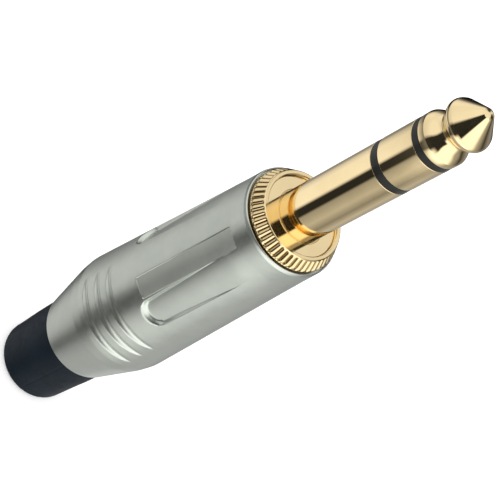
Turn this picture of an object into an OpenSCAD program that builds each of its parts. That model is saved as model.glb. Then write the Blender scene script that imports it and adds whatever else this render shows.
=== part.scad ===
// Stereo jack plug, 6.35 mm, three contacts, screw-together metal shell.
// Millimetres. The plug's axis is Z. It stands on the flat rear end of its
// boot at Z = 0 with the contact tip pointing up.

/* [Boot and shell] */
// Length of the soft boot that shows behind the shell
boot_len = 12.2; // [11.6:0.1:13]
// Radius of the boot at its free end
boot_end_r = 5.35; // [5.2:0.01:5.5]
// Radius of the boot where it meets the shell
boot_top_r = 5.66; // [5.5:0.01:5.75]
// Radius of the cable passage through the boot
cable_r = 3.5; // [3.3:0.05:3.6]
// Length of the metal shell, rear rim to front edge
shell_len = 43.2; // [43:0.1:46]
// Radius of the shell's rear rim
rim_r = 5.93; // [5.85:0.01:6.1]
// Largest radius of the shell, at the shoulder behind the grip
hip_r = 7.7; // [7.6:0.05:8]
// Radius of the shell just behind its rounded front edge
front_r = 6.62; // [6.58:0.01:6.8]

/* [Shell relief] */
// Number of long rounded recesses round the shell
recess_count = 4; // [3:1:4]
// Width of a long recess
recess_w = 3.75; // [3.2:0.05:4.2]
// Radius of the recess floor, which runs out in the taper of the shell
recess_floor_r = 6.74; // [6.7:0.01:6.85]
// Width of the plain label panel
panel_w = 2.75; // [2.4:0.05:2.85]
// Length of the plain label panel
panel_len = 18; // [16:0.5:18.5]
// Depth of each finger groove at its middle
groove_d = 0.36; // [0.24:0.02:0.4]

/* [Front ring] */
// Height of the toothed head of the front ring
head_h = 1.95; // [1.85:0.05:2.1]
// Radius of the toothed head
head_r = 6.22; // [6.1:0.01:6.24]
// Number of teeth round the head
teeth = 48; // [36:1:52]
// Pitch radius of the ring's screw thread
thread_r = 5.92; // [5.88:0.01:5.92]

/* [Finger] */
// Radius of the contact finger
finger_r = 3.175; // [3.15:0.005:3.175]
// Length of the sleeve contact in front of the ring's face
sleeve_len = 15.15; // [14.8:0.05:15.5]
// Length of the insulator between the sleeve and the ring contact
ins1_len = 1.14; // [1:0.02:1.3]
// Length of the ring contact
ring_len = 5.37; // [5.2:0.01:5.6]
// Length of the insulator between the ring contact and the tip
ins2_len = 0.97; // [0.9:0.01:1.1]
// Length of the tip contact's head
tip_len = 7.62; // [7.5:0.02:7.8]
// Radius of the bulb of the tip
bulb_r = 3.04; // [2.98:0.01:3.1]

/* [Inside] */
// Radius of the tip contact's rod
rod_r = 0.95; // [0.9:0.01:1]
// Thickness of the solder terminals
tag_t = 0.5; // [0.4:0.05:0.6]
// Thickness of the insulating washers
washer_t = 0.8; // [0.7:0.05:0.9]
// Number of jaws of the cable chuck
jaws = 4; // [3:1:6]

/* [Hidden] */
$fn = 96;

// Clearance between pieces fixed to each other, and between pieces that turn
fixed_gap = 0.02;
turn_gap = 0.05;

// Heights along the axis
z_rim = boot_len;
z_front = z_rim + shell_len;
z_face = z_front + head_h;
z_floor = z_face - 0.45;
z_s = z_face + sleeve_len;
z_i1 = z_s + ins1_len;
z_r = z_i1 + ring_len;
z_i2 = z_r + ins2_len;
z_tip = z_i2 + tip_len;
z_hip = z_rim + 10.3;

// Rear stack of the contacts, from the sleeve contact's rear face downwards
z_back = z_front - 10.9;
z_g = z_back - tag_t;
z_w1 = z_g - washer_t;
z_rt = z_w1 - tag_t;
z_w2 = z_rt - washer_t;
z_tt = z_w2 - tag_t;
z_rw = z_tt - 0.4;

// Inside of the shell
open_r = 4.55;
seat_r = 5;
bore_r = 5.85;
thread_bore_r = thread_r + turn_gap;
thread_len = 5;
z_seat = z_rim + 1.2;
z_cone = z_seat + 1.2;
z_bore = z_cone + 6.9;

// Cable chuck and liner
z_chuck = z_cone + 0.02;
z_chuck_top = z_chuck + 10.9;
z_liner = z_chuck_top + 0.05;
z_liner_top = z_front - thread_len - 0.1;
liner_r = bore_r - 0.07;
liner_in_r = 4.95;

// Directions of the shell's relief, seen along -Z from the front
recess_az = -75.5;
panel_az = -103.5;
groove_az = -92;
groove_pitch = 2.45;

nickel = [0.68, 0.70, 0.67];
gold = [0.93, 0.74, 0.38];
black = [0.09, 0.09, 0.11];
cream = [0.86, 0.85, 0.78];
tin = [0.78, 0.79, 0.80];

module turned(pts) { rotate_extrude() polygon(pts); }

// A ring of rectangular section
module tube(r1, r2, z1, z2) {
    translate([0, 0, z1]) difference() {
        cylinder(r = r2, h = z2 - z1);
        translate([0, 0, -1]) cylinder(r = r1, h = z2 - z1 + 2);
    }
}

// Outline of one long recess: a slot with a round rear end, widening a
// little towards the front where its floor runs out of the tapered shell
module recess_cut() {
    len = shell_len - 24.5;
    rotate([0, 0, recess_az]) translate([0, 0, z_front - 22.6 + recess_w / 2])
    difference() {
        rotate([90, 0, 90]) union() {
            translate([0, 0, 0]) linear_extrude(9) circle(r = recess_w / 2, $fn = 64);
            linear_extrude(9) polygon([[-recess_w / 2, 0], [recess_w / 2, 0],
                [recess_w / 2 + 0.3, len], [-recess_w / 2 - 0.3, len]]);
        }
        translate([0, 0, -5]) cylinder(r = recess_floor_r, h = len + 10);
    }
}

// The plain sunk panel beside one recess
module panel_cut() {
    rotate([0, 0, panel_az]) translate([0, 0, z_front - 3.1 - panel_len])
    difference() {
        translate([5, -panel_w / 2, 0]) cube([4, panel_w, panel_len]);
        translate([0, 0, -1]) cylinder(r1 = 7.2, r2 = 6.5, h = panel_len + 2);
    }
}

// One finger groove: a ring of larger radius set off the axis, so that the
// groove is deepest in the middle and fades out at both ends
module groove_cut(z, r) {
    off = 1;
    big = r - groove_d + off;
    for (side = [0, 180]) rotate([0, 0, groove_az + side]) translate([-off, 0, z])
    rotate_extrude() translate([big + 0.75, 0]) circle(r = 0.75, $fn = 32);
}

module shell() {
    color(nickel) difference() {
        rotate_extrude($fn = 128) polygon([
            [0, z_rim], [rim_r - 0.15, z_rim], [rim_r, z_rim + 0.15],
            [hip_r - 0.20, z_hip - 2], [hip_r - 0.06, z_hip - 1.1],
            [hip_r, z_hip], [hip_r - 0.015, z_hip + 1],
            [front_r + 0.04, z_front - 2.9], [front_r, z_front - 0.5],
            [head_r + 0.33, z_front - 0.1], [head_r + 0.25, z_front],
            [0, z_front]]);
        turned([[0, z_rim - 1], [open_r, z_rim - 1], [open_r, z_seat],
            [seat_r, z_seat], [seat_r, z_cone], [bore_r, z_bore],
            [bore_r, z_front - thread_len - 0.1],
            [thread_bore_r, z_front - thread_len],
            [thread_bore_r, z_front - 0.4], [head_r + 0.18, z_front - 0.4],
            [head_r + 0.18, z_front + 1], [0, z_front + 1]]);
        for (i = [0 : recess_count - 1]) rotate([0, 0, i * 360 / recess_count])
            recess_cut();
        panel_cut();
        groove_cut(z_hip + 1.55, hip_r - 0.03);
        groove_cut(z_hip + 1.55 + groove_pitch, hip_r - 0.12);
        groove_cut(z_hip + 1.55 + 2 * groove_pitch, hip_r - 0.2);
    }
}

module boot() {
    er = 0.85;
    color(black) rotate_extrude() union() {
        polygon([[cable_r + 0.3, 0], [boot_end_r - er, 0], [boot_end_r - er, er],
            [boot_end_r, er], [boot_top_r, z_rim - 0.35], [boot_top_r - 0.3, z_rim - 0.05],
            [open_r - 0.05, z_rim - 0.05], [open_r - 0.05, z_seat + 0.05],
            [seat_r - 0.05, z_seat + 0.05], [seat_r - 0.05, z_cone - 0.05],
            [cable_r, z_cone - 0.05], [cable_r, 0.3]]);
        translate([boot_end_r - er, er]) circle(r = er, $fn = 64);
    }
}

module cable_chuck() {
    slope = (bore_r - seat_r) / (z_bore - z_cone);
    gap = 0.06;
    in_r = cable_r + 0.4;
    slot_h = 7.2;
    color(cream) difference() {
        turned([[in_r, z_chuck], [seat_r - gap, z_chuck],
            [seat_r - gap + slope * (z_bore - z_cone), z_chuck + z_bore - z_cone],
            [bore_r - gap, z_chuck_top], [in_r + 0.3, z_chuck_top],
            [in_r, z_chuck_top - 0.3]]);
        // Grip rings inside the jaws
        for (k = [0 : 3]) translate([0, 0, z_chuck + 1 + k * 1.4]) rotate_extrude()
            polygon([[in_r - 1, 0], [in_r, 0], [in_r + 0.35, 0.5], [in_r, 0.55], [in_r - 1, 0.55]]);
        for (k = [0 : jaws - 1]) rotate([0, 0, 45 + k * 360 / jaws])
            translate([0, -0.45, z_chuck - 1]) cube([8, 0.9, slot_h + 1]);
    }
}

module insulating_liner() {
    color(black) difference() {
        tube(liner_in_r, liner_r, z_liner, z_liner_top);
        // Two long slots that carry the lugs of the sleeve contact
        for (a = [0, 180]) rotate([0, 0, a])
            translate([3, -0.8, z_back - 0.3]) cube([4, 1.6, 20]);
    }
}

module front_ring() {
    tilt = atan2(head_r - 5.5, head_h - 0.68);
    color(gold) difference() {
        turned([[4.3, z_front - thread_len], [thread_r - 0.3, z_front - thread_len],
            [thread_r, z_front - thread_len + 0.4], [thread_r, z_front - 0.75],
            [thread_r - 0.25, z_front - 0.6], [thread_r - 0.25, z_front - 0.35],
            [head_r - 0.17, z_front - 0.35], [head_r - 0.17, z_front + 0.06],
            [head_r, z_front + 0.18],
            [head_r, z_front + 0.6], [5.5, z_face - 0.08], [5.4, z_face],
            [5.02, z_face], [4.92, z_face - 0.1], [4.92, z_front - 2], [4.3, z_front - 2]]);
        for (i = [0 : teeth - 1]) rotate([0, 0, i * 360 / teeth])
            translate([head_r + 0.08, 0, z_front + 0.45]) rotate([0, -tilt, 0])
            cylinder(r = 0.22, h = 3, $fn = 16);
    }
}

module sleeve_contact() {
    bore = 2.47;
    color(gold) union() {
        turned([[bore, z_back], [4, z_back], [4.28, z_back + 0.2], [4.28, z_front - 2],
            [4.9, z_front - 2], [4.9, z_floor], [finger_r, z_floor], [finger_r, z_s - 0.1],
            [finger_r - 0.08, z_s], [2.77, z_s], [2.77, z_s - 1.2], [bore, z_s - 1.2]]);
        // Two lugs that turn the liner
        for (a = [0, 180]) rotate([0, 0, a]) intersection() {
            translate([4, -0.7, z_back]) cube([2, 1.4, 1]);
            cylinder(r = liner_r - 0.1, h = 100);
        }
    }
}

module rear_insulator() {
    color(black) turned([[1.97, z_s - 1.2], [2.77 - fixed_gap, z_s - 1.2],
        [2.77 - fixed_gap, z_s], [finger_r - 0.02, z_s], [finger_r - 0.02, z_i1],
        [1.97, z_i1]]);
}

module outer_tube() {
    color(cream) tube(1.95 + fixed_gap, 2.47 - fixed_gap, z_g, z_s - 1.2);
}

module ring_contact() {
    in_r = 1.47;
    color(gold) turned([[in_r, z_rt], [1.95, z_rt], [1.95, z_i1],
        [finger_r - 0.08, z_i1], [finger_r, z_i1 + 0.08], [finger_r, z_r - 0.08],
        [finger_r - 0.08, z_r], [2.35, z_r], [2.35, z_r - 1.2], [in_r, z_r - 1.2]]);
}

module front_insulator() {
    color(black) turned([[rod_r + fixed_gap, z_r - 1.2], [2.35 - fixed_gap, z_r - 1.2],
        [2.35 - fixed_gap, z_r], [finger_r - 0.02, z_r], [finger_r - 0.02, z_i2],
        [rod_r + fixed_gap, z_i2]]);
}

module inner_tube() {
    color(cream) tube(rod_r + fixed_gap, 1.47 - fixed_gap, z_rt, z_r - 1.2);
}

module tip_contact() {
    z0 = z_i2;
    zt = z_tip;
    color(gold) rotate_extrude() union() {
        polygon([[0, z_rw - 0.6], [1.3, z_rw - 0.6], [1.55, z_rw - 0.35], [1.55, z_rw],
            [rod_r, z_rw], [rod_r, z0], [finger_r - 0.08, z0], [finger_r, z0 + 0.08],
            [finger_r, z0 + 0.82], [3.1, z0 + 1.06], [2.97, z0 + 1.32], [2.79, z0 + 1.6],
            [2.57, z0 + 1.86], [2.33, z0 + 2.12], [2.15, z0 + 2.38], [2.08, z0 + 2.62],
            [2.13, z0 + 2.86], [2.42, z0 + 3.18], [bulb_r - 0.24, z0 + 3.62],
            [bulb_r - 0.06, z0 + 4.0], [bulb_r, z0 + 4.3], [bulb_r - 0.05, z0 + 4.6],
            [bulb_r - 0.18, z0 + 4.88], [0.98, zt - 0.62], [0.8, zt - 0.42], [0, zt - 0.42]]);
        intersection() {
            translate([0, zt - 0.95]) circle(r = 0.95, $fn = 64);
            translate([0, zt - 0.6]) square([0.85, 1]);
        }
    }
}

// Ground terminal: a washer on the sleeve contact with a long strip that
// ends in a round trough for the cable's jacket
module sleeve_terminal() {
    ztr = z_chuck_top + 1.2;
    color(tin) union() {
        tube(2.47, 4.3, z_g, z_back);
        translate([-1.3, 3.9, ztr]) cube([2.6, 0.45, z_back - ztr]);
        difference() {
            tube(3.9, 4.35, ztr, ztr + 3.6);
            translate([-5, -9, ztr - 1]) cube([10, 8.2, 6]);
        }
    }
}

module sleeve_washer() {
    color(cream) tube(1.95 + fixed_gap, 3.6, z_w1, z_g);
}

// A washer with a solder tag that has a hole near its end
module tag(r1, r2, z1, z2, x, w, len) {
    difference() {
        union() {
            tube(r1, r2, z1, z2);
            translate([x, -w / 2, z1 - len]) cube([0.5, w, len + z2 - z1]);
        }
        translate([x - 1, 0, z1 - len + 1.5]) rotate([0, 90, 0]) cylinder(r = 0.45, h = 3, $fn = 32);
        translate([0, 0, z1 - len]) cylinder(r = r1, h = 2 * len);
    }
}

module ring_terminal() {
    color(tin) tag(1.95 + fixed_gap, 2.75, z_rt, z_w1, 2.25, 2.2, 9.5);
}

module ring_washer() {
    color(cream) tube(rod_r + fixed_gap, 2.15, z_w2, z_rt);
}

module tip_terminal() {
    color(tin) rotate([0, 0, 180])
        tag(rod_r + fixed_gap, 2.1, z_tt, z_w2, 1.65, 1.8, 9.5);
}

module rivet_washer() {
    color(tin) tube(rod_r + fixed_gap, 1.6, z_rw, z_tt);
}

shell();
boot();
cable_chuck();
insulating_liner();
front_ring();
sleeve_contact();
rear_insulator();
outer_tube();
ring_contact();
front_insulator();
inner_tube();
tip_contact();
sleeve_terminal();
sleeve_washer();
ring_terminal();
ring_washer();
tip_terminal();
rivet_washer();
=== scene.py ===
import math
import bpy
import numpy as np
from mathutils import Matrix, Vector


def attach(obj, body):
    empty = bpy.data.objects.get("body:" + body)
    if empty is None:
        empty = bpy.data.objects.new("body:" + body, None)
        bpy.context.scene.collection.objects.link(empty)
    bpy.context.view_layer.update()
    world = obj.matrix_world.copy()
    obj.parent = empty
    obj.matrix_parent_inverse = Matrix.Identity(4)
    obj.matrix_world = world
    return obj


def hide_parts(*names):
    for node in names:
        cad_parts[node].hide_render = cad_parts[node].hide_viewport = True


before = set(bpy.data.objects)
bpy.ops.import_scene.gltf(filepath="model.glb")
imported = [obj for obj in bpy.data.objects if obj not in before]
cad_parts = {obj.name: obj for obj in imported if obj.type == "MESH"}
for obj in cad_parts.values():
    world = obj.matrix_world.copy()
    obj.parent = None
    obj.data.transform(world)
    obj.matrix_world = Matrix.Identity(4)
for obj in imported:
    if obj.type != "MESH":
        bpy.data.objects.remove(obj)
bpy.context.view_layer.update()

MM = 0.001
scene = bpy.context.scene

# ---------------------------------------------------------------- camera
# Looks down on the standing plug from about 46 degrees, rolled so that the tip points up and to the right.
ORIGIN = np.array([15.189, -8.890, 202.56430])       # the point (0, 0, 72.5) in x right, y down, z forward, mm
UP = np.array([0.60571607, -0.32740439, -0.72519957])    # the plug's axis, +Z
NEAR = np.array([-0.63582546, 0.34878355, -0.68853179])  # -Y
SIDE = np.array([0.47836601, 0.87815511, 0.00309175])    # +X
flip = np.array([1.0, -1.0, -1.0])
rot = np.array([SIDE * flip, -NEAR * flip, UP * flip])
u_, _, vt_ = np.linalg.svd(rot)
rot = u_ @ vt_
loc = np.array([0, 0, 72.5]) - rot @ (ORIGIN * flip)
cam_data = bpy.data.cameras.new("camera")
cam_data.sensor_width = 36.0
cam_data.lens = 1900 / 500 * 36.0
cam_data.clip_start, cam_data.clip_end = 0.005, 50.0
cam = bpy.data.objects.new("camera", cam_data)
scene.collection.objects.link(cam)
m = Matrix.Identity(4)
for i in range(3):
    for j in range(3):
        m[i][j] = float(rot[i, j])
    m[i][3] = float(loc[i]) * MM
cam.matrix_world = m
scene.camera = cam

scene.view_settings.view_transform = "Standard"
scene.view_settings.look = "None"
scene.view_settings.exposure = 0.0
scene.view_settings.gamma = 1.0


# ---------------------------------------------------------------- mesh tools (all lengths in mm)
def fillet(points, steps=6, closed=False):
    """A polyline of (r, z, fillet radius) as dense points and their normals (to the right of travel)."""
    p = [np.array(q[:2], float) for q in points]
    rad = [q[2] if len(q) > 2 else 0.0 for q in points]
    n = len(p)
    out = []
    for i in range(n):
        if not closed and i in (0, n - 1):
            a, b = (p[0], p[1]) if i == 0 else (p[-2], p[-1])
            d = (b - a) / np.linalg.norm(b - a)
            out.append((p[i], np.array([d[1], -d[0]])))
            continue
        a, c, b = p[i - 1], p[i], p[(i + 1) % n]
        la, lb = np.linalg.norm(c - a), np.linalg.norm(b - c)
        d1, d2 = (c - a) / la, (b - c) / lb
        turn = math.atan2(d1[0] * d2[1] - d1[1] * d2[0], float(np.dot(d1, d2)))
        n1, n2 = np.array([d1[1], -d1[0]]), np.array([d2[1], -d2[0]])
        t = rad[i] * abs(math.tan(turn / 2))
        t = min(t, 0.48 * la, 0.48 * lb)
        if t < 1e-5 or abs(turn) < 1e-3:
            nn = n1 + n2
            out.append((c, nn / np.linalg.norm(nn)))
            continue
        rr = t / abs(math.tan(turn / 2))
        start = c - d1 * t
        centre = start - n1 * rr * (1 if turn > 0 else -1)
        k = max(2, int(round(steps * abs(turn) / (math.pi / 2))))
        for s in range(k + 1):
            ang = turn * s / k
            co, si = math.cos(ang), math.sin(ang)
            nn = np.array([n1[0] * co - n1[1] * si, n1[0] * si + n1[1] * co])
            out.append((centre + nn * rr * (1 if turn > 0 else -1), nn))
    pts = np.array([q[0] for q in out])
    nrm = np.array([q[1] for q in out])
    return pts, nrm


def refine(pts, nrm, step, closed=False):
    """Adds points on long straight stretches."""
    P, N = [], []
    n = len(pts)
    for i in range(n if closed else n - 1):
        a, b = pts[i], pts[(i + 1) % n]
        na, nb = nrm[i], nrm[(i + 1) % n]
        k = max(1, int(math.ceil(np.linalg.norm(b - a) / step)))
        for s in range(k):
            f = s / k
            nn = na * (1 - f) + nb * f
            P.append(a * (1 - f) + b * f)
            N.append(nn / max(1e-9, np.linalg.norm(nn)))
    if not closed:
        P.append(pts[-1])
        N.append(nrm[-1])
    return np.array(P), np.array(N)


def spline(points, per=8):
    """A smooth curve through (r, z) points."""
    p = [np.array(q, float) for q in points]
    p = [2 * p[0] - p[1]] + p + [2 * p[-1] - p[-2]]
    out = []
    for i in range(1, len(p) - 2):
        p0, p1, p2, p3 = p[i - 1 : i + 3]
        t0 = 0.0
        t1 = t0 + max(1e-6, np.linalg.norm(p1 - p0)) ** 0.5
        t2 = t1 + max(1e-6, np.linalg.norm(p2 - p1)) ** 0.5
        t3 = t2 + max(1e-6, np.linalg.norm(p3 - p2)) ** 0.5
        for s in range(per):
            t = t1 + (t2 - t1) * s / per
            a1 = (t1 - t) / (t1 - t0) * p0 + (t - t0) / (t1 - t0) * p1
            a2 = (t2 - t) / (t2 - t1) * p1 + (t - t1) / (t2 - t1) * p2
            a3 = (t3 - t) / (t3 - t2) * p2 + (t - t2) / (t3 - t2) * p3
            b1 = (t2 - t) / (t2 - t0) * a1 + (t - t0) / (t2 - t0) * a2
            b2 = (t3 - t) / (t3 - t1) * a2 + (t - t1) / (t3 - t1) * a3
            out.append((t2 - t) / (t2 - t1) * b1 + (t - t1) / (t2 - t1) * b2)
    out.append(p[-2])
    return [tuple(q) for q in out]


def grid_mesh(name, xyz, nrm, closed_path, pole_start=None, pole_end=None, masks=None):
    """A turned mesh from rows of points, xyz[row, column], columns going once round."""
    rows, cols = xyz.shape[:2]
    verts = xyz.reshape(-1, 3)
    norms = nrm.reshape(-1, 3)
    idx = np.arange(rows * cols).reshape(rows, cols)
    nxt = np.roll(idx, -1, axis=1)
    if closed_path:
        up_i, up_n = np.roll(idx, -1, axis=0), np.roll(nxt, -1, axis=0)
        quads = np.stack([idx, nxt, up_n, up_i], -1).reshape(-1, 4)
    else:
        quads = np.stack([idx[:-1], nxt[:-1], nxt[1:], idx[1:]], -1).reshape(-1, 4)
    faces = [tuple(int(v) for v in q) for q in quads]
    extra, extra_n = [], []
    base = rows * cols
    if pole_start is not None:
        extra.append((0, 0, pole_start[0])); extra_n.append((0, 0, pole_start[1]))
        c = base + len(extra) - 1
        faces += [(c, int(nxt[0, j]), int(idx[0, j])) for j in range(cols)]
    if pole_end is not None:
        extra.append((0, 0, pole_end[0])); extra_n.append((0, 0, pole_end[1]))
        c = base + len(extra) - 1
        faces += [(c, int(idx[-1, j]), int(nxt[-1, j])) for j in range(cols)]
    if extra:
        verts = np.vstack([verts, np.array(extra, float)])
        norms = np.vstack([norms, np.array(extra_n, float)])
    me = bpy.data.meshes.new(name)
    me.from_pydata((verts * MM).tolist(), [], faces)
    me.polygons.foreach_set("use_smooth", [True] * len(me.polygons))
    for key, vals in (masks or {}).items():
        at = me.attributes.new(key, "FLOAT", "POINT")
        v = np.concatenate([np.asarray(vals, float).reshape(-1), np.zeros(len(extra))])
        at.data.foreach_set("value", v.astype(np.float32))
    me.validate()
    me.update()
    ln = np.linalg.norm(norms, axis=1, keepdims=True)
    me.normals_split_custom_set_from_vertices((norms / np.maximum(ln, 1e-12)).tolist())
    ob = bpy.data.objects.new(name, me)
    scene.collection.objects.link(ob)
    return ob


def lathe(name, pts, nrm, seg, closed_path=True, shape=None, masks=None, poles=(None, None), bias=None):
    """Turns a path round Z. shape(theta, z, r, row) gives the new radius where it differs from the path's; its fourth
    argument is not used.
    """
    th = np.arange(seg) * 2 * math.pi / seg if bias is None else bias
    T, R = np.meshgrid(th, pts[:, 0])
    Z = np.repeat(pts[:, 1][:, None], len(th), 1)
    if T.ndim == 2 and bias is not None and getattr(bias, "ndim", 1) == 2:
        T = bias
        R = np.repeat(pts[:, 0][:, None], bias.shape[1], 1)
        Z = np.repeat(pts[:, 1][:, None], bias.shape[1], 1)
    NR = np.repeat(nrm[:, 0][:, None], T.shape[1], 1)
    NZ = np.repeat(nrm[:, 1][:, None], T.shape[1], 1)
    base_n = np.stack([NR * np.cos(T), NR * np.sin(T), NZ], -1)
    if shape is None:
        xyz = np.stack([R * np.cos(T), R * np.sin(T), Z], -1)
        normals = base_n
        mk = masks(T, Z, R) if masks else None
        return grid_mesh(name, xyz, normals, closed_path, *poles, masks=mk)
    R2 = shape(T, Z, R, NR)
    xyz = np.stack([R2 * np.cos(T), R2 * np.sin(T), Z], -1)
    # normals from the neighbours where the radius was changed
    du = np.roll(xyz, -1, 1) - np.roll(xyz, 1, 1)
    if closed_path:
        dv = np.roll(xyz, -1, 0) - np.roll(xyz, 1, 0)
    else:
        dv = np.gradient(xyz, axis=0)
    nn = np.cross(du, dv)
    nn /= np.maximum(np.linalg.norm(nn, axis=-1, keepdims=True), 1e-12)
    nn *= np.sign(np.sum(nn * base_n, -1, keepdims=True) + 1e-12)
    moved = np.abs(R2 - R) > 1e-5
    touch = moved.copy()
    for ax in (0, 1):
        for s in (-1, 1):
            touch |= np.roll(moved, s, ax)
    normals = np.where(touch[..., None], nn, base_n)
    mk = masks(T, Z, R2) if masks else None
    return grid_mesh(name, xyz, normals, closed_path, *poles, masks=mk)


def smooth(x, a, b):
    t = np.clip((x - a) / (b - a), 0, 1)
    return t * t * (3 - 2 * t)


def smin(a, b, k):
    """Smooth minimum of two radii."""
    h = np.clip(0.5 + 0.5 * (b - a) / k, 0, 1)
    return b * (1 - h) + a * h - k * h * (1 - h)


# ---------------------------------------------------------------- heights, as in the construction
Z_RIM, Z_HIP, Z_FRONT, Z_FACE, Z_FLOOR = 12.2, 22.5, 55.4, 57.35, 56.90
Z_S, Z_I1, Z_R, Z_I2, Z_TIP = 72.5, 73.64, 79.01, 79.98, 87.6
Z_BACK, Z_RT, Z_RW = 44.5, 42.7, 41.0
THREAD_LEN, PITCH = 5.0, 1.0
RECESS_AZ, PANEL_AZ, GROOVE_AZ = math.radians(-75.5), math.radians(-103.5), math.radians(-92)
RECESS_W, RECESS_FLOOR = 3.75, 6.74
PANEL_W, HEAD_R = 2.75, 6.22


def wrap(a):
    return (a + math.pi) % (2 * math.pi) - math.pi


# ---------------------------------------------------------------- shell
def shell_piece():
    outer = [(4.55, 12.2, 0.0), (5.93, 12.2, 0.16), (7.50, 20.5, 3.0), (7.695, 22.3, 3.2),
             (7.68, 23.0, 3.0), (6.66, 52.5, 6.0), (6.62, 54.95, 0.5), (6.55, 55.3, 0.12), (6.47, 55.4, 0.05)]
    inner = [(6.40, 55.4, 0.02), (6.40, 55.0, 0.03), (5.97, 55.0, 0.05), (5.97, 50.4, 0.05), (5.85, 50.3, 0.05), (5.85, 21.5, 0.3), (5.0, 14.6, 0.2),
             (5.0, 13.4, 0.06), (4.55, 13.4, 0.1)]
    pts, nrm = fillet(outer + inner, steps=8, closed=True)
    # fine rows where the relief is, coarse elsewhere
    P, N = [], []
    n = len(pts)
    for i in range(n):
        a, b, na, nb = pts[i], pts[(i + 1) % n], nrm[i], nrm[(i + 1) % n]
        out = min(a[0], b[0]) > 6.4
        L = np.linalg.norm(b - a)
        zs = [0.0]
        if out and L > 0.3:
            s = 0.0
            while s < L:
                z = a[1] + (b[1] - a[1]) * s / L
                if 32.2 < z < 35.2:
                    st = 0.075
                elif 23.0 < z < 30.1:
                    st = 0.11
                elif 51.9 < z < 52.7 or 33.9 < z < 34.7:
                    st = 0.08
                else:
                    st = 0.45
                s += st
                zs.append(min(1.0, s / L))
        else:
            step = 0.14 if (a[0] > 5.96 and a[0] < 6.0 and b[0] < 6.0 and 50.3 < a[1] < 55.5) else 2.5
            k = max(1, int(math.ceil(L / step)))
            zs = list(np.linspace(0, 1, k + 1))
        for f in zs[:-1]:
            nn = na * (1 - f) + nb * f
            P.append(a * (1 - f) + b * f)
            N.append(nn / np.linalg.norm(nn))
    pts, nrm = np.array(P), np.array(N)
    # columns: close together beside the long edges of the recesses and of the panel
    marks = []
    edge = RECESS_W / 2 / 7.1
    for k in range(4):
        for s in (-1, 1):
            marks.append(RECESS_AZ + k * math.pi / 2 + s * edge)
    pe = PANEL_W / 2 / 7.0
    marks += [PANEL_AZ - pe, PANEL_AZ + pe]
    fine = np.linspace(-0.30, 0.30, 13) / 7.1
    th = []
    for mk in marks:
        th += list(wrap(mk + fine))
    coarse = np.arange(0, 2 * math.pi, 2 * math.pi / 240) - math.pi
    for c in coarse:
        if all(abs(wrap(c - mk)) > 0.36 / 7.1 for mk in marks):
            th.append(wrap(c))
    th = np.sort(np.array(th))
    keep = np.concatenate([[True], np.diff(th) > 0.004])
    th = th[keep]
    # bend the columns with the recess edges as these spread towards the front
    T = np.repeat(th[None, :], len(pts), 0)
    zc = Z_FRONT - 22.6 + RECESS_W / 2
    spread = np.clip((pts[:, 1] - zc) / 18.7, 0, 1.05) * 0.30 / 7.0
    outer_row = pts[:, 0] > 6.4
    for k in range(4):
        c = RECESS_AZ + k * math.pi / 2
        d = wrap(T - c)
        w = np.clip(1 - np.abs(np.abs(d) - edge) / 0.14, 0, 1)
        T = T + np.sign(d) * w * np.where(outer_row, spread, 0)[:, None] * smooth(np.abs(d), 0.0, 0.1)

    def slot_distance(s, z):
        """Signed distance (mm) to a recess's outline: a round rear end and straight sides that spread."""
        half = RECESS_W / 2
        slope = 0.30 / 18.7
        side = (np.abs(s) - (half + slope * (z - zc))) / math.sqrt(1 + slope * slope)
        end = np.sqrt(s * s + (z - zc) ** 2) - half
        return np.where(z > zc, np.maximum(side, -1e9), end)

    def shape(T, Z, R, NR):
        r = R.copy()
        out = (R > 6.45) & (Z > 22.8) & (Z < 54.2)
        floor = np.full_like(R, RECESS_FLOOR)
        for k in range(4):
            d = wrap(T - (RECESS_AZ + k * math.pi / 2))
            dist = slot_distance(d * R, Z)
            depth = np.maximum(R - floor, 0)
            # steep side walls, and a long ramp at the rear end
            rear = np.clip((zc - Z) / (RECESS_W / 2), 0, 1)
            wall = 0.08 + 0.38 * depth + 0.85 * rear * rear
            f = smooth(-dist, -0.12 * wall, wall)
            # soft run-out of the floor at the front
            soft = 0.5 * (depth + np.sqrt(depth * depth + 0.0004)) - 0.01
            cut = np.where(R - floor > -0.2, np.maximum(soft, 0), 0)
            r = np.where(out & (np.abs(d) < 0.6), np.minimum(r, R - cut * f), r)
        # panel
        d = wrap(T - PANEL_AZ) * R
        pf = 7.15 - 0.0285 * (Z - 34.3)
        ez = np.minimum(Z - 34.3, 52.3 - Z)
        es = PANEL_W / 2 - np.abs(d)
        rc = 0.25
        q = np.minimum(np.minimum(ez, es), np.where((ez < rc) & (es < rc), rc - np.sqrt((rc - ez) ** 2 + (rc - es) ** 2), 9))
        f = smooth(q, -0.03, 0.09)
        r = np.where(out & (np.abs(d) < 1.6) & (Z > 33.5) & (Z < 53), np.minimum(r, R * (1 - f) + np.minimum(pf, R) * f), r)
        # finger grooves
        for j, rr in enumerate((7.67, 7.58, 7.50)):
            z0 = Z_HIP + 1.55 + 2.45 * j
            for side in (0, math.pi):
                off = 1.0
                big = rr - 0.36 + off
                c = np.cos(T - (GROOVE_AZ + side)) * -off
                q = 0.75 ** 2 - (Z - z0) ** 2
                rho = big + 0.75 - np.sqrt(np.maximum(q, 0))
                s = c * c - off * off + rho * rho
                rg = c + np.sqrt(np.maximum(s, 0))
                near = (np.abs(Z - z0) < 0.75) & out & (np.cos(T - (GROOVE_AZ + side)) > 0)
                r = np.where(near, smin(r, rg, 0.035), r)
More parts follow.
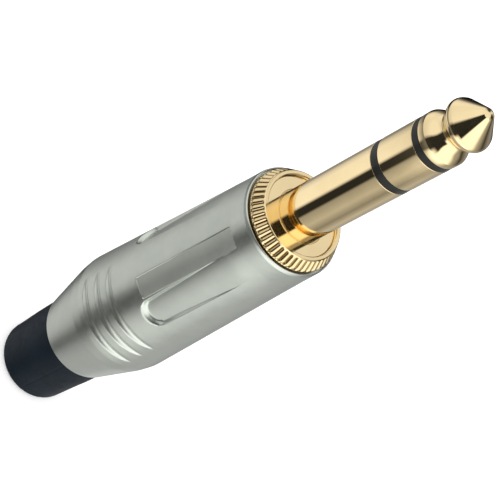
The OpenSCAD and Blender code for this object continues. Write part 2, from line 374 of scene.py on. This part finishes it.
        # thread in the front of the bore
        tz = (R > 5.955) & (R < 5.985) & (Z > 50.45) & (Z < 54.9)
        ph = ((Z - 50.4) / PITCH - T / (2 * math.pi)) % 1.0
        tri = np.clip(1 - np.abs(ph - 0.5) * 2.6, 0, 1)
        fade = smooth(Z, 50.5, 51.0) * (1 - smooth(Z, 54.4, 54.85))
        r = np.where(tz, R + 0.24 * smooth(tri, 0, 1) * fade, r)
        return r

    def masks(T, Z, R):
        d = wrap(T - PANEL_AZ) * 7.0
        q = np.minimum(np.minimum(Z - 34.3, 52.3 - Z), PANEL_W / 2 - np.abs(d))
        panel = smooth(q, 0.0, 0.1) * (R > 6.3)
        return {"panel": panel}

    return lathe("metal_shell", pts, nrm, T.shape[1], True, shape, masks, bias=T)


# ---------------------------------------------------------------- boot
def boot_piece():
    path = [(3.5, 0.0, 0.25), (5.35, 0.0, 0.95), (5.40, 2.2, 3.0), (5.62, 8.2, 20.0), (5.66, 11.9, 0.28), (5.36, 12.15, 0.12),
            (4.5, 12.15, 0.05), (4.5, 13.45, 0.05), (4.95, 13.45, 0.1), (4.95, 14.55, 0.15), (3.5, 14.55, 0.15)]
    pts, nrm = fillet(path, steps=10, closed=True)
    pts, nrm = refine(pts, nrm, 0.35, closed=True)

    def shape(T, Z, R, NR):
        # a fine parting line down both sides of the moulding
        r = R.copy()
        out = (R > 5.2) & (Z > 0.5) & (Z < 12.0)
        for a in (-66.0, 114.0):
            s = wrap(T - math.radians(a)) * R
            g = 0.07 * np.exp(-(s / 0.10) ** 2) * smooth(Z, 1.2, 2.6)
            r = np.where(out, r - g, r)
        # the moulding is very slightly uneven
        wob = 0.006 * np.sin(3 * T + 0.9 * Z) + 0.004 * np.sin(7 * T - 0.55 * Z + 1.3)
        r = np.where(out, r + wob * smooth(Z, 0.9, 2.5) - 0.010, r)
        return r

    return lathe("rubber_boot", pts, nrm, 288, True, shape)


# ---------------------------------------------------------------- front ring
def ring_piece():
    path = [(4.3, 50.4, 0.1), (5.62, 50.4, 0.05), (5.92, 50.8, 0.1), (5.92, 54.65, 0.05), (5.67, 54.8, 0.05), (5.67, 55.05, 0.05),
            (HEAD_R - 0.17, 55.05, 0.05), (HEAD_R - 0.17, 55.46, 0.04), (HEAD_R, 55.58, 0.07), (HEAD_R, 56.0, 0.35), (5.5, 57.27, 0.12), (5.4, 57.35, 0.08), (5.02, 57.35, 0.05), (4.92, 57.25, 0.06),
            (4.92, 53.4, 0.04), (4.3, 53.4, 0.05)]
    pts, nrm = fillet(path, steps=7, closed=True)
    P, N = [], []
    n = len(pts)
    for i in range(n):
        a, b, na, nb = pts[i], pts[(i + 1) % n], nrm[i], nrm[(i + 1) % n]
        L = np.linalg.norm(b - a)
        head = min(a[0], b[0]) > 5.36 and min(a[1], b[1]) > 55.4
        screw = min(a[0], b[0]) > 5.9 and max(a[1], b[1]) < 54.7
        step = 0.07 if head else (0.11 if screw else 1.2)
        k = max(1, int(math.ceil(L / step)))
        for s in range(k):
            f = s / k
            nn = na * (1 - f) + nb * f
            P.append(a * (1 - f) + b * f)
            N.append(nn / np.linalg.norm(nn))
    pts, nrm = np.array(P), np.array(N)
    per = 13
    k = np.arange(48 * per)
    # columns gather at the gaps between the teeth
    u = (k % per) / per
    th = (k // per + u - 0.055 * np.sin(2 * math.pi * u)) * 2 * math.pi / 48

    def shape(T, Z, R, NR):
        r = R.copy()
        v = (T * 48 / (2 * math.pi)) % 1.0
        v = np.minimum(v, 1 - v)              # 0 in a gap, 0.5 on a tooth's crest
        arc = v * 2 * math.pi / 48 * 6.1      # mm from the gap's middle
        # each tooth is a rounded bar between two narrow gaps
        q = np.clip(arc / 0.40, 0, 1)
        bar = 0.26 * (1 - q) ** 2 + 0.05 * (1 - smooth(arc, 0.0, 0.08))
        on = (R > 5.38) & (Z > 55.62)
        along = smooth(Z, 55.64, 55.86) * (1 - smooth(Z, 57.05, 57.29))
        r = np.where(on, r - bar * along, r)
        # screw thread on the spigot
        tz = (R > 5.9) & (Z > 50.75) & (Z < 54.7)
        ph = ((Z - 50.4) / PITCH - T / (2 * math.pi)) % 1.0
        tri = np.clip(1 - np.abs(ph - 0.5) * 2.6, 0, 1)
        fade = smooth(Z, 50.75, 51.1) * (1 - smooth(Z, 54.35, 54.7))
        r = np.where(tz, R - 0.26 * (1 - smooth(tri, 0, 1)) * fade, r)
        return r

    def masks(T, Z, R):
        v = (T * 48 / (2 * math.pi)) % 1.0
        v = np.minimum(v, 1 - v)
        arc = v * 2 * math.pi / 48 * 6.1
        # mask for painted shade: the narrow gaps between the teeth and the neck under the toothed head
        g = (1 - smooth(arc, 0.01, 0.13)) * ((R > 5.2) & (Z > 55.6)) * (1 - smooth(Z, 57.05, 57.25))
        g = np.maximum(g, (R > 5.6) * (Z > 54.9) * (Z < 55.5))
        return {"gap": g}

    return lathe("front_ring_toothed", pts, nrm, len(th), True, shape, masks, bias=np.repeat(th[None, :], len(pts), 0))


# ---------------------------------------------------------------- contacts and insulators
def turned(name, path, seg=160, step=0.8, steps=6, closed=True, poles=(None, None)):
    pts, nrm = fillet(path, steps=steps, closed=closed)
    pts, nrm = refine(pts, nrm, step, closed=closed)
    return lathe(name, pts, nrm, seg, closed, poles=poles)


def sleeve_piece():
    path = [(2.47, 44.5, 0.05), (4.0, 44.5, 0.1), (4.28, 44.7, 0.1), (4.28, 53.4, 0.05), (4.9, 53.4, 0.05), (4.9, Z_FLOOR, 0.05),
            (3.36, Z_FLOOR, 0.03), (3.30, Z_FLOOR - 0.08, 0.02), (3.22, Z_FLOOR - 0.08, 0.02), (3.175, Z_FLOOR, 0.02)]
    path += [(3.175, 72.5, 0.07), (2.77, 72.5, 0.02), (2.77, 71.3, 0.02), (2.47, 71.3, 0.02)]
    return turned("sleeve_contact_turned", path, 192, 0.9)


def ring_contact_piece():
    path = [(1.47, 42.7, 0.03), (1.95, 42.7, 0.05), (1.95, 73.64, 0.02), (3.175, 73.64, 0.07), (3.175, 79.01, 0.07),
            (2.35, 79.01, 0.02), (2.35, 77.81, 0.02), (1.47, 77.81, 0.02)]
    return turned("ring_contact_turned", path, 192, 0.9)


def insulator_piece(name, inner, neck, z0, z1, z2):
    path = [(inner, z0, 0.02), (neck, z0, 0.03), (neck, z1, 0.02), (3.155, z1, 0.03), (3.155, z2, 0.03), (inner, z2, 0.02)]
    return turned(name, path, 192, 0.4)


def tip_piece():
    z0, zt = Z_I2, Z_TIP
    body = [(3.175, z0 + 0.78), (3.165, z0 + 0.90), (3.10, z0 + 1.06), (2.97, z0 + 1.32), (2.79, z0 + 1.60), (2.57, z0 + 1.86),
            (2.34, z0 + 2.12), (2.16, z0 + 2.38), (2.085, z0 + 2.62), (2.13, z0 + 2.86), (2.40, z0 + 3.18), (2.78, z0 + 3.62),
            (2.965, z0 + 4.0), (3.03, z0 + 4.3), (2.985, z0 + 4.6), (2.86, z0 + 4.88)]
    body = spline(body, 5)
    path = [(1.3, 40.4, 0.05), (1.55, 40.75, 0.2), (1.55, 41.0, 0.05), (0.95, 41.0, 0.02), (0.95, z0, 0.02), (3.175, z0, 0.07),
            (3.175, z0 + 0.78, 0.0)]
    path += [(a, b, 0.0) for a, b in body[1:]]
    # a flattish dome closes the cone
    path += [(0.74, zt - 0.292, 0.02)]
    for k in range(1, 12):
        a = math.radians(47 + 3.7 * k)
        path.append((1.085 * math.cos(a), zt - 1.085 + 1.085 * math.sin(a), 0.0))
    path = [(0.02, 40.4, 0.0)] + path + [(0.02, zt, 0.0)]
    pts, nrm = fillet(path, steps=8, closed=False)
    pts, nrm = refine(pts, nrm, 0.8, closed=False)
    return lathe("tip_contact_turned", pts, nrm, 192, False, poles=((40.4, -1), (zt, 1)))


# ---------------------------------------------------------------- materials
def new_mat(name):
    mat = bpy.data.materials.new(name)
    mat.use_nodes = True
    nt = mat.node_tree
    bsdf = nt.nodes["Principled BSDF"]
    return mat, nt, bsdf


def node(nt, kind, **kw):
    n = nt.nodes.new(kind)
    for k, v in kw.items():
        if k in n.inputs.keys():
            n.inputs[k].default_value = v
        else:
            setattr(n, k, v)
    return n


def noise(nt, scale, detail=3.0, rough=0.5, stretch=None, dist=0.0):
    tc = node(nt, "ShaderNodeTexCoord")
    src = tc.outputs["Object"]
    if stretch is not None:
        mp = node(nt, "ShaderNodeMapping")
        mp.inputs["Scale"].default_value = stretch
        nt.links.new(src, mp.inputs["Vector"])
        src = mp.outputs["Vector"]
    n = node(nt, "ShaderNodeTexNoise")
    n.inputs["Scale"].default_value = scale
    n.inputs["Detail"].default_value = detail
    n.inputs["Roughness"].default_value = rough
    n.inputs["Distortion"].default_value = dist
    nt.links.new(src, n.inputs["Vector"])
    return n.outputs["Fac"]


def remap(nt, src, a, b, lo, hi):
    mr = node(nt, "ShaderNodeMapRange")
    mr.inputs["From Min"].default_value = a
    mr.inputs["From Max"].default_value = b
    mr.inputs["To Min"].default_value = lo
    mr.inputs["To Max"].default_value = hi
    nt.links.new(src, mr.inputs["Value"])
    return mr.outputs["Result"]


def ramp(nt, src, stops):
    cr = node(nt, "ShaderNodeValToRGB")
    el = cr.color_ramp.elements
    while len(el) > 1:
        el.remove(el[-1])
    el[0].position, el[0].color = stops[0][0], (*stops[0][1], 1)
    for pos, col in stops[1:]:
        e = el.new(pos)
        e.color = (*col, 1)
    nt.links.new(src, cr.inputs["Fac"])
    return cr.outputs["Color"]


def bump(nt, src, strength, dist, after=None):
    b = node(nt, "ShaderNodeBump")
    b.inputs["Strength"].default_value = strength
    b.inputs["Distance"].default_value = dist
    nt.links.new(src, b.inputs["Height"])
    if after is not None:
        nt.links.new(after, b.inputs["Normal"])
    return b.outputs["Normal"]


def gold(name, a, b, rough, paint_gap_shade=False):
    mat, nt, bs = new_mat(name)
    bs.inputs["Metallic"].default_value = 1.0
    tone = noise(nt, 260.0, 4.0, 0.55)
    nt.links.new(ramp(nt, tone, [(0.30, a), (0.70, b)]), bs.inputs["Base Color"])
    wear = noise(nt, 900.0, 5.0, 0.6, (1.0, 1.0, 0.35))
    nt.links.new(remap(nt, wear, 0.3, 0.75, rough[0], rough[1]), bs.inputs["Roughness"])
    if paint_gap_shade:
        # painted shade: the base colour turns dark brown deep in the gaps between the teeth and in the neck under the
        # toothed head
        at = node(nt, "ShaderNodeAttribute")
        at.attribute_name = "gap"
        mx = node(nt, "ShaderNodeMix")
        mx.data_type = "RGBA"
        nt.links.new(at.outputs["Fac"], mx.inputs["Factor"])
        nt.links.new(bs.inputs["Base Color"].links[0].from_socket, mx.inputs[6])
        nt.links.new(ramp(nt, wear, [(0.3, (0.16, 0.10, 0.035)), (0.7, (0.22, 0.14, 0.05))]), mx.inputs[7])
        nt.links.new(mx.outputs[2], bs.inputs["Base Color"])
    # hair-fine turning lines round the axis
    lines = noise(nt, 1.0, 2.0, 0.5, (60.0, 60.0, 26000.0))
    n1 = bump(nt, lines, 0.10, 0.000004)
    nt.links.new(n1, bs.inputs["Normal"])
    return mat


def nickel():
    mat, nt, bs = new_mat("satin_nickel")
    bs.inputs["Metallic"].default_value = 1.0
    tone = noise(nt, 330.0, 5.0, 0.6)
    nt.links.new(ramp(nt, tone, [(0.28, (0.628, 0.668, 0.602)), (0.72, (0.692, 0.728, 0.660))]), bs.inputs["Base Color"])
    rg = remap(nt, noise(nt, 1400.0, 4.0, 0.6), 0.3, 0.7, 0.30, 0.36)
    at = node(nt, "ShaderNodeAttribute")
    at.attribute_name = "panel"
    mx = node(nt, "ShaderNodeMath")
    mx.operation = "MULTIPLY_ADD"
    mx.inputs[1].default_value = 0.16
    nt.links.new(at.outputs["Fac"], mx.inputs[0])
    nt.links.new(rg, mx.inputs[2])
    nt.links.new(mx.outputs[0], bs.inputs["Roughness"])
    # blasted grain under the plating
    grain = noise(nt, 9000.0, 3.0, 0.6)
    n1 = bump(nt, grain, 0.14, 0.00002)
    nt.links.new(n1, bs.inputs["Normal"])
    return mat


def rubber():
    mat, nt, bs = new_mat("boot_rubber")
    tone = noise(nt, 240.0, 5.0, 0.6)
    nt.links.new(ramp(nt, tone, [(0.3, (0.0025, 0.0072, 0.0125)), (0.7, (0.0045, 0.0105, 0.0175))]), bs.inputs["Base Color"])
    nt.links.new(remap(nt, noise(nt, 1100.0, 4.0, 0.6), 0.3, 0.7, 0.42, 0.54), bs.inputs["Roughness"])
    bs.inputs["Specular IOR Level"].default_value = 0.12
    grain = noise(nt, 5200.0, 4.0, 0.65)
    nt.links.new(bump(nt, grain, 0.22, 0.00003), bs.inputs["Normal"])
    return mat


def plastic(name, a, b, rough, grain_scale=3000.0, spec=0.5):
    mat, nt, bs = new_mat(name)
    tone = noise(nt, 420.0, 4.0, 0.6)
    nt.links.new(ramp(nt, tone, [(0.3, a), (0.7, b)]), bs.inputs["Base Color"])
    nt.links.new(remap(nt, noise(nt, 1500.0, 3.0, 0.6), 0.3, 0.7, rough[0], rough[1]), bs.inputs["Roughness"])
    bs.inputs["Specular IOR Level"].default_value = spec
    nt.links.new(bump(nt, noise(nt, grain_scale, 4.0, 0.6), 0.12, 0.00002), bs.inputs["Normal"])
    return mat


def tinned():
    mat, nt, bs = new_mat("tinned_brass")
    bs.inputs["Metallic"].default_value = 1.0
    tone = noise(nt, 700.0, 5.0, 0.65)
    nt.links.new(ramp(nt, tone, [(0.3, (0.56, 0.56, 0.55)), (0.7, (0.72, 0.71, 0.69))]), bs.inputs["Base Color"])
    nt.links.new(remap(nt, noise(nt, 2500.0, 4.0, 0.6), 0.3, 0.7, 0.22, 0.42), bs.inputs["Roughness"])
    nt.links.new(bump(nt, noise(nt, 4200.0, 4.0, 0.6), 0.2, 0.00002), bs.inputs["Normal"])
    return mat


M = {
    "satin_nickel": nickel(),
    "contact_gold": gold("contact_gold", (0.90, 0.715, 0.405), (0.95, 0.765, 0.445), (0.055, 0.095)),
    "ring_gold": gold("ring_gold", (0.90, 0.70, 0.385), (0.95, 0.755, 0.43), (0.09, 0.15), True),
    "insulator_black": plastic("insulator_black", (0.012, 0.012, 0.011), (0.018, 0.018, 0.016), (0.18, 0.28), 3000.0, 0.22),
    "boot_rubber": rubber(),
    "chuck_plastic": plastic("chuck_plastic", (0.70, 0.69, 0.62), (0.78, 0.77, 0.70), (0.35, 0.48)),
    "liner_plastic": plastic("liner_plastic", (0.020, 0.020, 0.022), (0.032, 0.032, 0.034), (0.38, 0.5)),
    "tube_plastic": plastic("tube_plastic", (0.62, 0.60, 0.52), (0.70, 0.68, 0.60), (0.3, 0.42)),
    "washer_fibre": plastic("washer_fibre", (0.30, 0.17, 0.10), (0.42, 0.25, 0.15), (0.6, 0.75), 1800.0),
    "tinned_brass": tinned(),
}

SLOT_OF = {
    "cable_chuck": "chuck_plastic", "insulating_liner": "liner_plastic", "outer_tube": "tube_plastic", "inner_tube": "tube_plastic",
    "sleeve_terminal": "tinned_brass", "ring_terminal": "tinned_brass", "tip_terminal": "tinned_brass", "rivet_washer": "tinned_brass",
    "sleeve_washer": "washer_fibre", "ring_washer": "washer_fibre",
}
for name, slot in SLOT_OF.items():
    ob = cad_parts[name]
    ob.data.materials.clear()
    ob.data.materials.append(M[slot])


def place(ob, mat, body, slot, *nodes):
    ob.data.materials.append(M[mat])
    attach(ob, body)
    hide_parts(*nodes)
    return ob


place(shell_piece(), "satin_nickel", "shell_body", "satin_nickel", "shell")
place(boot_piece(), "boot_rubber", "shell_body", "boot_rubber", "boot")
place(ring_piece(), "ring_gold", "contact_body", "ring_gold", "front_ring")
place(sleeve_piece(), "contact_gold", "contact_body", "contact_gold", "sleeve_contact")
place(ring_contact_piece(), "contact_gold", "contact_body", "contact_gold", "ring_contact")
place(insulator_piece("rear_insulator_collar", 1.97, 2.75, 71.3, 72.5, 73.64), "insulator_black", "contact_body", "insulator_black", "rear_insulator")
place(insulator_piece("front_insulator_collar", 0.97, 2.33, 77.81, 79.01, 79.98), "insulator_black", "contact_body", "insulator_black", "front_insulator")
place(tip_piece(), "contact_gold", "contact_body", "contact_gold", "tip_contact")

# ---------------------------------------------------------------- floor
fm, fnt, fbs = new_mat("floor_paper")
fbs.inputs["Roughness"].default_value = 0.9
fbs.inputs["Specular IOR Level"].default_value = 0.1
fbs.inputs["Emission Color"].default_value = (1.0, 1.0, 1.0, 1.0)
fbs.inputs["Emission Strength"].default_value = 0.28
nt_tone = noise(fnt, 40.0, 4.0, 0.6)
fnt.links.new(ramp(fnt, nt_tone, [(0.3, (0.90, 0.90, 0.895)), (0.7, (0.92, 0.92, 0.915))]), fbs.inputs["Base Color"])
fme = bpy.data.meshes.new("floor")
S = 4.0
fme.from_pydata([(-S, -S, 0), (S, -S, 0), (S, S, 0), (-S, S, 0)], [], [(0, 1, 2, 3)])
floor = bpy.data.objects.new("floor", fme)
fme.materials.append(fm)
scene.collection.objects.link(floor)
floor.visible_glossy = False

# ---------------------------------------------------------------- studio light
world = bpy.data.worlds.new("studio")
scene.world = world
world.use_nodes = True
wn = world.node_tree
wn.nodes.clear()
out = node(wn, "ShaderNodeOutputWorld")
tc = node(wn, "ShaderNodeTexCoord")
sep = node(wn, "ShaderNodeSeparateXYZ")
wn.links.new(tc.outputs["Generated"], sep.inputs[0])
neg = node(wn, "ShaderNodeMath", operation="MULTIPLY")
neg.inputs[1].default_value = -1.0
wn.links.new(sep.outputs["Y"], neg.inputs[0])
at2 = node(wn, "ShaderNodeMath", operation="ARCTAN2")
wn.links.new(sep.outputs["X"], at2.inputs[0])
wn.links.new(neg.outputs[0], at2.inputs[1])
azn = remap(wn, at2.outputs[0], -math.pi, math.pi, 0.0, 1.0)


def g(v):
    return (v, v, v)


def deg(a):
    return (a + 180.0) / 360.0


# stacked bands of the studio, from straight down to straight up: a bright panel on the left, a dark gap
# towards the camera and a panel on the right
pole = ramp(wn, azn, [(deg(-180), g(0.90)), (deg(-170), g(0.60)), (deg(-158), g(0.06)), (deg(-143), g(0.06)), (deg(-124), g(0.60)), (deg(-112), g(0.66)),
                      (deg(-90), g(0.70)), (deg(-44), g(0.58)), (deg(-30), g(0.10)), (deg(-1), g(0.05)), (deg(10), g(0.36)), (deg(48), g(0.50)),
                      (deg(84), g(0.45)), (deg(127), g(0.50)), (deg(143), g(0.75)), (deg(158), g(1.4)), (deg(172), g(1.6)), (deg(180), g(0.9))])
deep = ramp(wn, azn, [(deg(-180), g(0.02)), (deg(-120), g(0.01)), (deg(-106), g(0.35)), (deg(-94), g(0.56)), (deg(-46), g(0.56)), (deg(-32), g(0.10)),
                      (deg(-1), g(0.09)), (deg(8), g(0.50)), (deg(34), g(0.85)), (deg(66), g(0.80)), (deg(88), g(0.42)), (deg(118), g(0.45)),
                      (deg(145), g(0.50)), (deg(164), g(0.20)), (deg(180), g(0.04))])
low = ramp(wn, azn, [(deg(-180), g(0.60)), (deg(-160), g(0.30)), (deg(-140), g(0.30)), (deg(-121), g(0.72)), (deg(-96), g(1.0)), (deg(-42), g(1.06)), (deg(-36), g(0.7)),
                     (deg(-29), g(0.026)), (deg(-2), g(0.026)), (deg(7), g(0.36)), (deg(48), g(0.55)), (deg(84), g(0.27)), (deg(118), g(0.55)),
                     (deg(145), g(0.38)), (deg(180), g(0.60))])
near = ramp(wn, azn, [(deg(-180), g(0.01)), (deg(-112), g(0.01)), (deg(-96), g(0.22)), (deg(-84), g(0.27)), (deg(-46), g(0.27)), (deg(-30), g(0.18)),
                      (deg(2), g(0.18)), (deg(14), g(1.1)), (deg(34), g(1.65)), (deg(74), g(1.65)), (deg(88), g(1.0)), (deg(104), g(0.40)), (deg(130), g(0.25)),
                      (deg(155), g(0.25)), (deg(180), g(0.03))])
mid = ramp(wn, azn, [(deg(-180), g(0.05)), (deg(-150), g(0.06)), (deg(-139), g(0.25)), (deg(-129), g(0.85)), (deg(-115), g(1.0)), (deg(-90), g(0.85)), (deg(-42), g(0.80)), (deg(-28), g(0.03)),
                     (deg(8), g(0.03)), (deg(20), g(1.4)), (deg(85), g(1.4)), (deg(100), g(0.45)), (deg(125), g(0.05)), (deg(150), g(0.3)), (deg(180), g(0.5))])
high = ramp(wn, azn, [(deg(-180), g(0.85)), (deg(-173), g(0.85)), (deg(-166), g(0.05)), (deg(-142), g(0.05)), (deg(-130), g(0.7)), (deg(-120), g(0.85)), (deg(-95), g(1.0)), (deg(-40), g(1.0)), (deg(-28), g(0.02)), (deg(30), g(0.02)),
                      (deg(37), g(1.45)), (deg(86), g(1.45)), (deg(100), g(0.42)), (deg(118), g(0.42)), (deg(126), g(0.03)), (deg(148), g(0.03)), (deg(165), g(0.3)), (deg(173), g(0.85)),
                      (deg(180), g(0.85))])
top = ramp(wn, azn, [(deg(-180), g(0.95)), (deg(0), g(1.0)), (deg(180), g(0.95))])


def mixc(nt, fac, a, b):
    mx = node(nt, "ShaderNodeMix")
    mx.data_type = "RGBA"
    nt.links.new(fac, mx.inputs["Factor"])
    nt.links.new(a, mx.inputs[6])
    nt.links.new(b, mx.inputs[7])
    return mx.outputs[2]


env = pole
for a, b, layer in ((-0.86, -0.80, deep), (-0.765, -0.735, low), (-0.662, -0.61, near), (-0.38, -0.20, mid), (0.05, 0.40, high),
                    (0.76, 0.86, top)):
    env = mixc(wn, remap(wn, sep.outputs["Z"], a, b, 0.0, 1.0), env, layer)
lp = node(wn, "ShaderNodeLightPath")
bg_env = node(wn, "ShaderNodeBackground")
wn.links.new(env, bg_env.inputs["Color"])
bg_soft = node(wn, "ShaderNodeBackground")
bg_soft.inputs["Color"].default_value = (1.0, 1.0, 1.0, 1.0)
bg_soft.inputs["Strength"].default_value = 1.25
mix = node(wn, "ShaderNodeMixShader")
wn.links.new(lp.outputs["Is Glossy Ray"], mix.inputs[0])
wn.links.new(bg_soft.outputs[0], mix.inputs[1])
wn.links.new(bg_env.outputs[0], mix.inputs[2])
wn.links.new(mix.outputs[0], out.inputs["Surface"])
